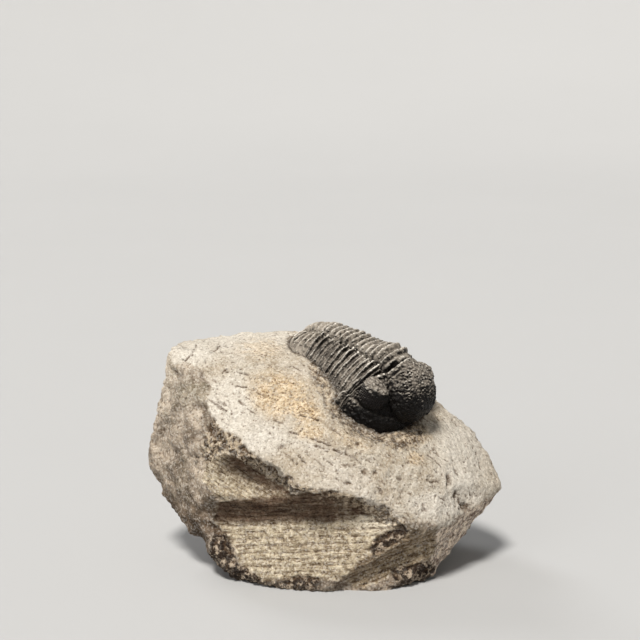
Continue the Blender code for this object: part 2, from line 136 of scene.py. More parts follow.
HOLES = [((449, 480), (3.5, 7.5), 1.1), ((465, 507), (4.5, 6.0), 1.0), ((457, 495), (2.5, 5.0), 0.7),
         ((348, 483), (5.0, 3.0), 0.6), ((375, 473), (3.0, 2.5), 0.6), ((364, 470), (3.0, 3.5), 0.5),
         ((380, 492), (3.0, 2.5), 0.5), ((358, 443), (3.0, 2.0), 0.6), ((424, 511), (3.0, 2.5), 0.5),
         ((400, 478), (4.0, 3.0), 0.45), ((281, 446), (4.0, 3.0), 0.35), ((242, 450), (5.0, 5.0), 0.9),
         ((272, 470), (6.0, 3.5), 0.9), ((213, 432), (5.0, 7.0), 0.8), ((288, 478), (4.0, 3.0), 0.8),
         ((216, 529), (4.0, 4.0), 1.0)]  # centre, radii, depth


def pick_only(obj):
    """Makes obj the one selected and active object."""
    bpy.ops.object.select_all(action="DESELECT")
    obj.select_set(True)
    bpy.context.view_layer.objects.active = obj


def finish_modifier(obj, kind, **settings):
    """Adds a modifier to obj, sets it and applies it."""
    pick_only(obj)
    modifier = obj.modifiers.new(kind.lower(), kind)
    for name, value in settings.items():
        setattr(modifier, name, value)
    bpy.ops.object.modifier_apply(modifier=modifier.name)


def open_mesh(obj):
    """Opens obj in edit mode with all of it selected."""
    pick_only(obj)
    bpy.ops.object.mode_set(mode="EDIT")
    bpy.ops.mesh.select_all(action="SELECT")


def close_mesh():
    """Turns every face of the open mesh outward and leaves edit mode."""
    bpy.ops.mesh.select_all(action="SELECT")
    bpy.ops.mesh.normals_make_consistent(inside=False)
    bpy.ops.object.mode_set(mode="OBJECT")


def saw_off(obj, level):
    """Cuts away what lies below that height and closes the cut with one flat face."""
    open_mesh(obj)
    bpy.ops.mesh.bisect(plane_co=(0, 0, level), plane_no=(0, 0, -1), use_fill=True, clear_outer=True)
    bpy.ops.object.mode_set(mode="OBJECT")


def places(obj, what="co"):
    """The vertex positions of obj as an array."""
    flat = np.empty(len(obj.data.vertices) * 3, np.float32)
    obj.data.vertices.foreach_get(what, flat)
    return flat.reshape(-1, 3).astype(float)


def outward(obj):
    """The vertex normals of obj as an array."""
    return places(obj, "normal")


def put(obj, points):
    """Moves the vertices of obj to points."""
    obj.data.vertices.foreach_set("co", points.astype(np.float32).ravel())
    obj.data.update()


def lumpiness(points, scale, seed, octaves=3, gain=0.9):
    """Fractal noise at each point, about -1 to 1; scale is the width of its largest lumps, in millimetres."""
    start = Vector((seed * 7.31, seed * 3.17, seed * 5.73))
    return np.array([noise.fractal(Vector(p) / scale + start, gain, 2.1, octaves) for p in points])


def cells(points, scale, seed):
    """Distance from each point to the nearest seed of a random scatter, in units of the scatter's spacing."""
    start = Vector((seed * 1.91, seed * 8.13, seed * 2.77))
    return np.array([noise.voronoi(Vector(p) / scale + start)[0][0] for p in points])


def ease(t):
    """0 below 0, 1 above 1, and an even curve between."""
    t = np.clip(t, 0.0, 1.0)
    return t * t * (3 - 2 * t)


def hump(t):
    """A round bump, 1 at t = 0."""
    return np.exp(-t * t)


def photo_pixels(points):
    """Where the camera sees points of the block's own frame, in pixels."""
    look = np.array([0.0, math.cos(CAMERA_DIP), -math.sin(CAMERA_DIP)])
    up = np.array([0.0, math.sin(CAMERA_DIP), math.cos(CAMERA_DIP)])
    ray = points - np.array(CAMERA_PLACE)
    depth = ray @ look
    middle = PHOTO_SIDE / 2
    return np.stack([middle + FOCAL_PIXELS * ray[:, 0] / depth, middle - FOCAL_PIXELS * (ray @ up) / depth], axis=1)


def to_line(pixels, a, b):
    """Distance of each pixel position from the stretch a to b."""
    a, b = np.array(a, float), np.array(b, float)
    along = np.clip(((pixels - a) @ (b - a)) / ((b - a) @ (b - a)), 0, 1)
    return np.linalg.norm(pixels - a - along[:, None] * (b - a), axis=1)


def within(pixels, outline, edge=1.5):
    """1 inside the outline, 0 outside, with a soft edge that many pixels wide."""
    near = np.full(len(pixels), 1e9)
    inside = np.zeros(len(pixels), bool)
    for (x0, y0), (x1, y1) in zip(outline, outline[1:] + outline[:1]):
        near = np.minimum(near, to_line(pixels, (x0, y0), (x1, y1)))
        crosses = (y0 > pixels[:, 1]) != (y1 > pixels[:, 1])
        rise = (y1 - y0) or 1e-9
        inside ^= crosses & (pixels[:, 0] < (x1 - x0) * (pixels[:, 1] - y0) / rise + x0)
    return ease(0.5 + np.where(inside, near, -near) / (2 * edge))


def cut_with(block, cutter):
    """Takes the cutter's shape out of the block and puts the cutter away."""
    finish_modifier(block, "BOOLEAN", object=cutter, operation="DIFFERENCE", solver="EXACT")
    bpy.data.objects.remove(cutter)


def grinder_cut(name, root_a, root_b, upper, lower, radius):
    """A cutter whose rounded root runs from root_a to root_b, with flat sides along upper and lower."""
    a, b = Vector(root_a), Vector(root_b)
    up, down = Vector(upper).normalized() * CUTTER_REACH, Vector(lower).normalized() * CUTTER_REACH
    bpy.ops.object.select_all(action="DESELECT")
    bpy.ops.mesh.primitive_cube_add(size=2.0)
    cutter = bpy.context.object
    cutter.name = name
    for vertex in cutter.data.vertices:
        x, y, z = vertex.co
        vertex.co = (b if x > 0 else a) + (up if z > 0 else Vector()) + (down if y > 0 else Vector())
    root = [i for i, v in enumerate(cutter.data.vertices) if (v.co - a).length < 0.01 or (v.co - b).length < 0.01]
    for vertex in cutter.data.vertices:
        vertex.select = vertex.index in root
    for edge in cutter.data.edges:
        edge.select = edge.vertices[0] in root and edge.vertices[1] in root
    for face in cutter.data.polygons:
        face.select = False
    bpy.ops.object.mode_set(mode="EDIT")
    bpy.ops.mesh.select_mode(type="EDGE")
    bpy.ops.mesh.bevel(offset=radius, offset_type="OFFSET", segments=6, profile=0.5, affect="EDGES")
    close_mesh()
    return cutter


def hollow_cut(name, centre, radii, turn):
    """An egg-shaped cutter, turned by angles in degrees."""
    bpy.ops.object.select_all(action="DESELECT")
    bpy.ops.mesh.primitive_ico_sphere_add(
        subdivisions=5, radius=1.0, location=centre, rotation=[math.radians(angle) for angle in turn], scale=radii
    )
    cutter = bpy.context.object
    cutter.name = name
    bpy.ops.object.transform_apply(location=True, rotation=True, scale=True)
    return cutter


corners = FOOT + FRONT_TOE + LEFT_EDGE + LEFT_SIDE + FRONT_LIP + SLOPE + CREST + BACK
block_mesh = bpy.data.meshes.new("limestone_block")
block_mesh.from_pydata([(x, y, z if z > 0 else -2.0) for x, y, z in corners], [], [])
block = bpy.data.objects.new("limestone_block", block_mesh)
bpy.context.scene.collection.objects.link(block)
open_mesh(block)
bpy.ops.mesh.convex_hull(delete_unused=True, use_existing_faces=False, make_holes=False, join_triangles=False)
close_mesh()
cut_with(block, grinder_cut("long_cut", (-45, -7.5, 17.5), (20, -22.6, 19.6), (0, -8, 8), (0, -5.5, -15), 5.0))
cut_with(block, grinder_cut("corner_cut", (2, -21.5, 0.8), (40, -15.5, 17.8), (0.25, -6, 5), (0.1, -3.5, -9), 2.5))
cut_with(block, hollow_cut("shoulder_cut", (-25, -28, 30), (19, 13, 8.5), (0, 14, 12)))
cut_with(block, hollow_cut("head_hollow", (22.3, -10.6, 44), (15, 13, 6), (0, 28, -33)))
finish_modifier(block, "REMESH", mode="VOXEL", voxel_size=ROUGH_VOXEL)
finish_modifier(block, "SMOOTH", factor=0.5, iterations=2)

# The same broad lumps as the CAD block has, strong on the broken sides and slight on the cleaned ones
stone, facing = places(block), outward(block)
slope = np.clip((facing[:, 2] - 0.25) * 3, 0, 1) * np.where(stone[:, 0] > -32, 1.0, 0.3)
front = np.clip((-facing[:, 1] - 0.5) * 4, 0, 1) * (stone[:, 0] > -29)
LUMPS_PER_MM, LUMP_SHIFT, LUMP_HEIGHT = 0.085, Vector((3.1, 7.7, 1.3)), 1.6
lumps = np.array([noise.fractal(Vector(p) * LUMPS_PER_MM + LUMP_SHIFT, 1.0, 2.1, 3) for p in stone])
stone = stone + facing * (LUMP_HEIGHT * lumps * (1 - 0.75 * np.maximum(slope, front)))[:, None]
pixels = photo_pixels(stone)
dished = [depth * hump(np.linalg.norm(pixels - spot, axis=1) / width) for spot, depth, width in DISHES]
stone[:, 2] -= np.max(dished, axis=0) * ease(facing[:, 2] * 3)
for spot, depth, width in SHAVED:
    stone -= facing * (depth * hump(np.linalg.norm(pixels - spot, axis=1) / width))[:, None]
put(block, stone)
finish_modifier(block, "REMESH", mode="VOXEL", voxel_size=FINE_VOXEL)
finish_modifier(block, "SMOOTH", factor=0.5, iterations=3)

# Fine shape of each surface, raised or sunk along its normals
stone, facing = places(block), outward(block)
view = np.array(CAMERA_PLACE) - stone
view /= np.linalg.norm(view, axis=1)[:, None]
seen = ease(((view * facing).sum(axis=1) + 0.25) / 0.3)
pixels = photo_pixels(stone)
wander = np.stack([lumpiness(stone, 4.0, 1), lumpiness(stone, 4.0, 2)], axis=1) * 2.2
wander += np.stack([lumpiness(stone, 1.0, 3, 2), lumpiness(stone, 1.0, 4, 2)], axis=1) * 1.6
ragged = pixels + wander
on_top = within(ragged, CLEANED_TOP) * seen
behind_crest = ease((facing[:, 2] - 0.45) / 0.3) * (1 - seen)
on_top = np.maximum(on_top, behind_crest * ease((stone[:, 0] + 36) / 6))
shoulder = within(ragged, SHOULDER_CUT) * seen
long_cut = within(ragged, LONG_CUT) * seen
corner = within(ragged, CORNER_CUT) * seen
turned_up = ease((facing[:, 2] - 0.15) / 0.25) * ease((530 - pixels[:, 1]) / 6) * ease((pixels[:, 0] - 300) / 20)
on_top = np.maximum(on_top, long_cut * turned_up)
long_cut *= 1 - turned_up
on_top *= 1 - 0.85 * within(ragged, BROKEN_STRIP) * seen
ground = np.clip(shoulder + long_cut + corner, 0, 1)
facet = within(ragged, RIGHT_FACET) * seen * (1 - ground)
crumbled = within(ragged, CRUMBLY_EDGE, 2.0) * seen * (1 - ground) * (1 - on_top)
lip = within(pixels + 1.8 * wander, CHIPPED_LIP, 1.5) * seen * ease((0.75 - facing[:, 2]) / 0.3)
crumbled = np.maximum(crumbled, 0.8 * lip)
by_fossil = within(pixels + 1.5 * wander, BY_THE_FOSSIL, 3.0) * seen * on_top
crust = np.max([within(ragged, patch, 1.2) * seen for patch in CRUST_PATCHES], axis=0)
toe = ease((3.2 - stone[:, 2] + 1.8 * lumpiness(stone, 6.0, 5)) / 1.2) * (1 - facet * seen) * (1 - 0.8 * ground)
toe *= np.interp(pixels[:, 0], [312, 326, 380, 392], [0.9, 0.35, 0.35, 0.9])
crust = np.maximum(crust, toe)
broken = np.clip(1 - on_top - ground - facet - crust, 0, 1)


def striation(across, along, spacing, seed):
    """Grooves left by a turning disc: rows that many millimetres apart, uneven and broken along their length."""
    row = across / spacing + 0.22 * lumpiness(np.stack([along / 14, across / 9, along * 0], axis=1), 1.0, seed, 2)
    groove = hump((row - np.floor(row) - 0.5) / 0.17)
    gaps = lumpiness(np.stack([along / 1.6, np.floor(row) * 3.7, along * 0], axis=1), 1.0, seed + 1, 3)
    return groove * ease(0.62 + 0.9 * gaps)


PIXELS_PER_MM = 3.8
LONG_TILT, CORNER_TILT, SHOULDER_TILT = 1.5, 20.5, -31.0  # degrees by which the rows of each cut rise to the right
LONG_PITCH, CORNER_PITCH, SHOULDER_PITCH = 1.85, 1.45, 1.0  # mm from row to row


def along_rows(slope):
    """Millimetres along and across rows that slope by that many degrees, right end up, as the camera sees them."""
    turn = math.radians(slope)
    u, v = (pixels / PIXELS_PER_MM).T
    return u * math.cos(turn) - v * math.sin(turn), v * math.cos(turn) + u * math.sin(turn)


def rows_in_view(slope, spacing, seed):
    """Grooves whose rows slope by that many degrees."""
    along, across = along_rows(slope)
    return striation(across, along, spacing, seed)


def oval(centre, radii, turn=0.0, size=1.5):
    """1 in an oval as the camera sees it, 0 round it, with a ragged edge; turn is in radians."""
    u, v = (ragged - centre).T
    u, v = u * math.cos(turn) + v * math.sin(turn), v * math.cos(turn) - u * math.sin(turn)
    return ease(size - np.hypot(u / radii[0], v / radii[1]))


# Broad rows in each cut, and finer lines between those of the long cut and the corner cut
long_rows, long_lines = rows_in_view(LONG_TILT, LONG_PITCH, 11), rows_in_view(1.0, 0.8, 13)
corner_rows, corner_lines = rows_in_view(CORNER_TILT, CORNER_PITCH, 15), rows_in_view(CORNER_TILT, 0.7, 16)
shoulder_rows = rows_in_view(SHOULDER_TILT, SHOULDER_PITCH, 17)

# Textures of the stone, as scatters and noise with lumps that many millimetres wide
FLAKE_WIDTH, FLAKE_LENGTH = 0.85, 6.5
grit = lumpiness(stone, 1.4, 21, 3, 0.8)
sugar = lumpiness(stone, 0.9, 26, 2, 0.8)
knobs = 1 - np.clip(cells(stone, 1.7, 22) / 0.75, 0, 1)
big_knobs = 1 - np.clip(cells(stone, 3.6, 27) / 0.8, 0, 1)
pits = ease((0.30 - cells(stone, 1.7, 23)) / 0.2) * ease(lumpiness(stone, 7.0, 24) * 1.6 + 0.25)
soft_lumps = lumpiness(stone, 5.0, 25, 3)
dip = np.array([0.80, -0.45, -0.40])
flake_places = stone / FLAKE_WIDTH - np.outer(stone @ dip, dip) * (1 / FLAKE_WIDTH - 1 / FLAKE_LENGTH)
flakes = ease((lumpiness(flake_places, 1.0, 28, 2) - 0.31) / 0.20)
flakes *= ease(lumpiness(stone, 11.0, 29, 2) * 1.8 + 0.45)

# Relief of each surface: millimetres of each texture on it
CRACK_DEPTH, SINKING = 0.50, 0.12
height = on_top * (0.32 * soft_lumps + 0.16 * grit + 0.15 * sugar - 0.28 * pits - 0.22 * flakes)
height += broken * (0.70 * soft_lumps + 0.35 * big_knobs + 0.32 * grit + 0.12 * sugar)
height += (crust + crumbled) * (0.25 + 1.15 * knobs + 0.40 * grit - 0.8)
height += by_fossil * (0.5 * knobs + 0.25 * grit - 0.25)
height += facet * (0.15 * soft_lumps + 0.10 * grit)
height += ground * (0.12 * grit + 0.12 * sugar)
height -= long_cut * (0.34 * long_rows + 0.16 * long_lines)
height -= corner * (0.42 * corner_rows + 0.16 * corner_lines) + shoulder * 0.26 * shoulder_rows
crack_width = np.clip(0.75 + 0.9 * sugar + 0.5 * grit, 0.25, 1.6)
stretches = [stretch for line in CRACKS for stretch in zip(line, line[1:])]
cracked = np.max([hump(to_line(pixels + 0.7 * wander, a, b) / crack_width) for a, b in stretches], axis=0)
cracked *= on_top * seen * ease(0.95 + 0.8 * grit)
height -= CRACK_DEPTH * cracked
holes = np.zeros(len(stone))
for centre, radii, depth in HOLES:
    hole = oval(centre, radii, size=1.35) * seen
    height -= depth * hole
    holes = np.maximum(holes, hole)
stone = stone + facing * (height - SINKING)[:, None]

# Nothing may stand outside the CAD block
BOX_MARGIN = 0.02
box_low, box_high = (np.array(corner) / MM - np.array(CENTRING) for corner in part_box("matrix"))
put(block, np.clip(stone, box_low + BOX_MARGIN, box_high - BOX_MARGIN))


def keep(obj, name, values):
    """Stores one value per vertex on obj, for its material to read."""
    layer = obj.data.attributes.new(name, "FLOAT", "POINT")
    layer.data.foreach_set("value", np.clip(values, 0, 1).astype(np.float32))


def kept_values(obj, name):
    """The values that keep stored, one for each vertex."""
    values = np.empty(len(obj.data.vertices), np.float32)
    obj.data.attributes[name].data.foreach_get("value", values)
    return values


def edge_wear(obj, rounds):
    """How far each vertex stands out of (positive) or lies in (negative) its surroundings, in millimetres."""
    ends = np.empty(len(obj.data.edges) * 2, np.int32)
    obj.data.edges.foreach_get("vertices", ends)
    ends = ends.reshape(-1, 2)
    here = places(obj)
    count = np.bincount(ends.ravel(), minlength=len(here))[:, None]
    smoothed = here.copy()
    for _ in range(rounds):
        total = np.zeros_like(smoothed)
        np.add.at(total, ends[:, 0], smoothed[ends[:, 1]])
        np.add.at(total, ends[:, 1], smoothed[ends[:, 0]])
        smoothed = 0.5 * smoothed + 0.5 * total / count
    return ((here - smoothed) * outward(obj)).sum(axis=1)


stain = np.max([strength * oval(centre, radii, turn) for centre, radii, turn, strength in STAINS], axis=0)
pale_and_painted_light = np.max([oval(centre, radii) for centre, radii in PALE_AND_PAINTED_LIGHT_SPOTS], axis=0)
relief = edge_wear(block, 6)
# Painted shade under the lips of the cuts: a dark band along the top of the long cut, thinned by paler streaks at its
# right end, a weaker one under the corner cut's ridge, and one along the shoulder cut's upper edge
streaks = ease(0.5 + 0.9 * lumpiness(np.stack([pixels[:, 0] / 20, pixels[:, 1] / 2.0, 0 * seen], axis=1), 1.0, 18))
lip_end = np.interp(ragged[:, 0], [215, 280, 330, 362, 385, 400], [523, 522, 521, 517, 513, 515])
painted_lip_shade = ease((lip_end + 4 - ragged[:, 1]) / 7) * long_cut
painted_lip_shade *= 1 - streaks * np.interp(pixels[:, 0], [215, 330, 360, 400], [0.15, 0.20, 0.75, 0.9])
ridge = np.min([to_line(ragged, a, b) for a, b in zip(CORNER_CUT, CORNER_CUT[1:6])], axis=0)
painted_lip_shade += 0.30 * ease((15 - ridge) / 8) * corner
shoulder_shade = hump(to_line(pixels, (234, 462), (292, 491)) / 13) * shoulder
painted_overhang_shade = np.clip(painted_lip_shade + shoulder_shade * (0.75 + 0.35 * streaks), 0, 1)
keep(block, "cleaned", on_top)
keep(block, "ground", ground)
keep(block, "painted_overhang_shade", painted_overhang_shade)
keep(block, "crust", crust)
keep(block, "crumbled", np.maximum(crumbled, by_fossil * 0.8))
keep(block, "facet", facet)
keep(block, "stain", stain * on_top)
keep(block, "pale_and_painted_light", pale_and_painted_light * np.maximum(on_top, long_cut))
keep(block, "low", ease((27 - stone[:, 2]) / 12) * broken)
keep(block, "marks", np.clip(np.maximum(cracked, holes * 0.8) + (pits * 0.7 + flakes * 0.75) * on_top, 0, 1))
keep(block, "rows", long_cut * np.maximum(long_rows, 0.4 * long_lines)
     + corner * np.maximum(1.4 * corner_rows, 0.8 * corner_lines) + shoulder * shoulder_rows)
keep(block, "hollows", 0.5 - relief / 0.5)
keep(block, "corner", corner)
keep(block, "left_side", broken * ease((-26 - stone[:, 0]) / 4) * ease((50 - stone[:, 2]) / 14))

# Places along and across the rows, for grain that follows them, and clear of the flat layers that noise has
CLEAR_OF_LAYERS = 0.4
rows_lie = np.where(shoulder > 0.5, along_rows(SHOULDER_TILT), along_rows(LONG_TILT))
rows_lie = np.where(corner > 0.5, along_rows(CORNER_TILT), rows_lie)
row_places = np.stack([*rows_lie, np.full(len(stone), CLEAR_OF_LAYERS)], axis=1)
row_layer = block.data.attributes.new("row_place", "FLOAT_VECTOR", "POINT")
row_layer.data.foreach_set("vector", row_places.astype(np.float32).ravel())

# Sawn flat underneath, and thinned to stay under 200,000 triangles
BLOCK_THINNING = 0.79
saw_off(block, 0)
finish_modifier(block, "DECIMATE", ratio=BLOCK_THINNING)


def to_frame(obj):
    """Brings a finished mesh from the block's millimetres to the metres of the CAD frame, and shades it smooth."""
    obj.data.transform(Matrix.Scale(MM, 4) @ Matrix.Translation(CENTRING))
    pick_only(obj)
    bpy.ops.object.shade_smooth_by_angle(angle=SHARP_EDGE)


SHARP_EDGE = math.radians(60)
to_frame(block)


class Signal:
    """A value socket that takes part in Python sums, each of which adds a Math node."""

    def __init__(self, finish, socket):
        self.finish, self.socket = finish, socket

    def sum(self, operation, first, second):
        return self.finish.node("ShaderNodeMath", {"operation": operation}, {0: first, 1: second})

    def __add__(self, other):
        return self.sum("ADD", self, other)

    def __sub__(self, other):
        return self.sum("SUBTRACT", self, other)

    def __rsub__(self, other):
        return self.sum("SUBTRACT", other, self)

    def __mul__(self, other):
        return self.sum("MULTIPLY", self, other)

    __radd__ = __add__
    __rmul__ = __mul__


class Finish:
    """A material that is built up node by node."""

    def __init__(self, name, **constants):
        self.material = bpy.data.materials.new(name)
        self.material.use_nodes = True
        self.tree = self.material.node_tree
        self.shader = self.tree.nodes["Principled BSDF"]
        for socket, value in constants.items():
            self.shader.inputs[socket.replace("_", " ")].default_value = value
        self.place = self.node("ShaderNodeTexCoord", {}, {}, "Object")

    def node(self, kind, settings, sockets, output=0):
        made = self.tree.nodes.new(kind)
        for name, value in settings.items():
            setattr(made, name, value)
        for socket, value in sockets.items():
            if isinstance(value, Signal):
                self.tree.links.new(value.socket, made.inputs[socket])
            else:
                made.inputs[socket].default_value = value
        return Signal(self, made.outputs[output])

    def mix(self, share, first, second, blend="MIX"):
        """Colours mixed by share."""
        settings = {"data_type": "RGBA", "blend_type": blend}
        return self.node("ShaderNodeMix", settings, {0: share, 6: first, 7: second}, 2)

    def over(self, colour, *coats, blend="MIX"):
        """The colour under coats of share and colour, laid on in turn."""
        for share, coat in coats:
            colour = self.mix(share, colour, coat, blend)
        return colour

    def kept(self, name, output="Fac"):
        """The values stored on the piece under that name."""
        return self.node("ShaderNodeAttribute", {"attribute_name": name}, {}, output)

    def grain(self, scale, detail=4.0, rough=0.6, warp=0.0):
        """Noise with that many lumps to the metre."""
        sockets = {"Vector": self.place, "Scale": scale, "Detail": detail, "Roughness": rough, "Distortion": warp}
        return self.node("ShaderNodeTexNoise", {}, sockets, "Fac")

    def between(self, value, low, high):
        """Stretches low to high over 0 to 1."""
        sockets = {"Value": value, "From Min": low, "From Max": high}
        return self.node("ShaderNodeMapRange", {"interpolation_type": "SMOOTHSTEP"}, sockets)

    def feed(self, socket, value):
        """Lets value drive that socket of the shader."""
        self.tree.links.new(value.socket, self.shader.inputs[socket])

    def bump(self, height, depth):
        """Relief too fine for the mesh, height times depth metres."""
        self.feed("Normal", self.node("ShaderNodeBump", {}, {"Strength": 1.0, "Distance": depth, "Height": height}))


rock = Finish("limestone", Roughness=0.94, Specular_IOR_Level=0.15)
clouds, coarse = rock.grain(45.0, 3.0), rock.grain(160.0)
medium, fine, specks = rock.grain(620.0, 4.0, 0.65), rock.grain(1650.0, 3.0, 0.72), rock.grain(1050.0, 3.0, 0.8, 0.8)
crystals = rock.node("ShaderNodeTexVoronoi", {}, {"Vector": rock.place, "Scale": 2100.0}, "Color")
cleaned, ground_down, faceted = rock.kept("cleaned"), rock.kept("ground"), rock.kept("facet")
hollows, crusted, painted_shade = rock.kept("hollows"), rock.kept("crust"), rock.kept("painted_overhang_shade")
# Painted shade for the stone's hollows, cracks, holes, pits, flake marks and the rows of the cuts
RECESS_SHADE = (0.13, 0.085, 0.052, 1)
GRAIN_DEPTH = 0.0012  # m

# Weathered, cleaned, stained and cut stone
weathered = rock.over(
    rock.mix(rock.between(coarse, 0.36, 0.64), (0.25, 0.205, 0.157, 1), (0.70, 0.61, 0.50, 1)),
    (rock.between(clouds, 0.52, 0.70) * 0.55, (0.30, 0.27, 0.18, 1)),
    (rock.between(medium, 0.55, 0.72) * 0.6, (0.66, 0.59, 0.50, 1)),
    (rock.between(0.0 - medium, -0.46, -0.32) * 0.6, (0.12, 0.095, 0.07, 1)),
)
weathered = rock.over(
    weathered, (rock.kept("left_side") * 0.8, (0.76, 0.73, 0.70, 1)),
    (rock.kept("low") * 0.9, (0.44, 0.39, 0.35, 1)), blend="MULTIPLY",
)
ochre = rock.mix(rock.between(medium, 0.35, 0.65), (0.56, 0.39, 0.20, 1), (0.86, 0.71, 0.50, 1))
stained = rock.kept("stain") * rock.between(medium + coarse, 0.76, 1.06)
pale = rock.over(
    rock.mix(rock.between(coarse, 0.35, 0.65), (0.50, 0.425, 0.325, 1), (0.62, 0.565, 0.475, 1)),
    (rock.between(clouds, 0.45, 0.65) * 0.6, (0.68, 0.63, 0.555, 1)),
    (rock.kept("pale_and_painted_light") * 0.75, (0.79, 0.745, 0.665, 1)),
    (stained, ochre),
)
# The cut is made paler in the pale and painted light spots
cut = rock.mix(rock.between(medium, 0.35, 0.65), (0.37, 0.305, 0.21, 1), (0.74, 0.65, 0.485, 1))
cut = rock.mix(rock.kept("pale_and_painted_light") * 0.9, cut, (0.97, 0.88, 0.71, 1))
cut = rock.mix(rock.kept("corner") * 0.9, cut, (0.72, 0.665, 0.61, 1), "MULTIPLY")
# The cut in painted shade: darker and browner under its lips
cut_in_painted_shade = rock.mix(rock.between(medium, 0.40, 0.70), (0.050, 0.023, 0.013, 1), (0.142, 0.079, 0.050, 1))
cut = rock.mix(painted_shade * 0.95, cut, cut_in_painted_shade)
crumbs = rock.mix(rock.between(medium, 0.43, 0.57), (0.070, 0.046, 0.028, 1), (0.60, 0.50, 0.37, 1))
dark_crust = rock.mix(rock.between(medium, 0.49, 0.62), (0.036, 0.024, 0.017, 1), (0.52, 0.43, 0.33, 1))
# The right facet is coloured lighter than its stone, as painted light on a face that the key leaves in shade
facet_with_painted_light = rock.mix(rock.between(medium, 0.41, 0.60), (0.29, 0.22, 0.175, 1), (0.97, 0.84, 0.69, 1))

# All of them, each on its own surface, under painted shade where the shell meets the stone and in recesses, dark
# pores and painted crystal highlights
colour = rock.over(
    weathered, (cleaned, pale), (faceted, facet_with_painted_light), (ground_down, cut), (rock.kept("crumbled"), crumbs),
    (crusted, dark_crust), (rock.kept("painted_contact_shade") * 0.9, (0.045, 0.032, 0.022, 1)), (rock.kept("marks") * 0.88, RECESS_SHADE),
    (rock.between(hollows, 0.53, 0.85) * 0.6, RECESS_SHADE), (rock.kept("rows") * 0.62, RECESS_SHADE),
)
along_the_rows = {0: rock.kept("row_place", "Vector"), 1: (0.32, 3.0, 1.0)}
row_vector = rock.node("ShaderNodeVectorMath", {"operation": "MULTIPLY"}, along_the_rows)
row_noise = {"Vector": row_vector, "Scale": 1.0, "Detail": 3.0, "Roughness": 0.7}
nicks = 1 - rock.between(rock.node("ShaderNodeTexNoise", {}, row_noise, "Fac"), 0.36, 0.47)
pores, wider_pores = 1 - rock.between(fine, 0.33, 0.43), 1 - rock.between(fine, 0.40, 0.50)
flecks = rock.between(specks, 0.60, 0.70)
sugary = (stained + ground_down * 0.35 + faceted * 0.8) * wider_pores
colour = rock.over(
    colour, (nicks * ground_down * 0.85, (0.30, 0.22, 0.155, 1)), (pores * 0.80, (0.30, 0.225, 0.17, 1)),
    (stained * pores * 0.6, (0.50, 0.34, 0.22, 1)), (sugary * 0.85, (0.44, 0.35, 0.27, 1)),
    (flecks * 0.60, (0.36, 0.27, 0.19, 1)), (0.40 - crystals * 0.40, (0.45, 0.39, 0.34, 1)), blend="MULTIPLY",
)
# Painted highlights: pale crystal specks, held back where shade is painted
painted_glints = rock.between(crystals, 0.52, 0.80) * (1 - 0.95 * painted_shade)
colour = rock.mix(painted_glints * (1 - 0.75 * crusted) * 0.20, colour, (0.95, 0.91, 0.84, 1))
rock.feed("Base Color", colour)
rock.bump(medium * 0.5 + fine * 0.55 + crystals * 0.06 - flecks * 0.2, GRAIN_DEPTH)
block.data.materials.append(rock.material)
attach(block, "root")
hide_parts("matrix")


# The fossil's carapace: dark calcite, grown and folded as one plated shell of head, eleven rings and tail. It lies
# embedded in the slope, where the stone round it was cleared away with a fine chisel.
BODY_PLACE = Vector((10.4, 4.0, 54.1))
HEADING, PITCH, ROLL = 38.4, 18.0, 3.0  # degrees: right of the front, head down, near side down
TAIL_TIP, TAIL_ROOT, NECK, HEAD_TIP = -25.3, -13.0, 7.5, 22.0
SEGMENTS, TAIL_RING = 11, 1.75
HINGE_HEIGHT = 4.5
BACK_BEND, NECK_BEND, TAIL_BEND, BEND_LENGTH = 7.0, 18.0, 11.0, 4.0
CHEEK, MARGIN_HEIGHT, CHEEK_TOP = 15.6, -6.0, 5.4
RING_HEIGHT, RIB_HEIGHT, TAIL_RING_HEIGHT, TAIL_RIB_HEIGHT, AXIS_FURROW = 1.35, 1.2, 0.75, 1.35, 0.75
STEEPNESS = 9.0  # of the drop beyond the shell's edges
TAIL_HALF_WIDTH, HEAD_ROUNDNESS = 10.2, 2.3
UNDERSIDE = -8.0
SHELL_VOXEL = 0.17


def half_width(x):
    """Half the body's width at x, from the round tail to the neck."""
    to_tip = np.clip(TAIL_ROOT - x, 0, None) / (TAIL_ROOT - TAIL_TIP)
    tail = TAIL_HALF_WIDTH * np.sqrt(np.clip(1 - to_tip ** 2.2, 0, 1))
    thorax = np.interp(x, [TAIL_ROOT, -3, 4, NECK], [TAIL_HALF_WIDTH, 12.4, 13.9, 14.2])
    return np.where(x < TAIL_ROOT, tail, thorax)


def vault(across, power=2.6):
    """The arch of the axis, 1 in the middle and 0 at its furrows."""
    return np.clip(1 - np.abs(across) ** power, 0, 1) ** 0.6


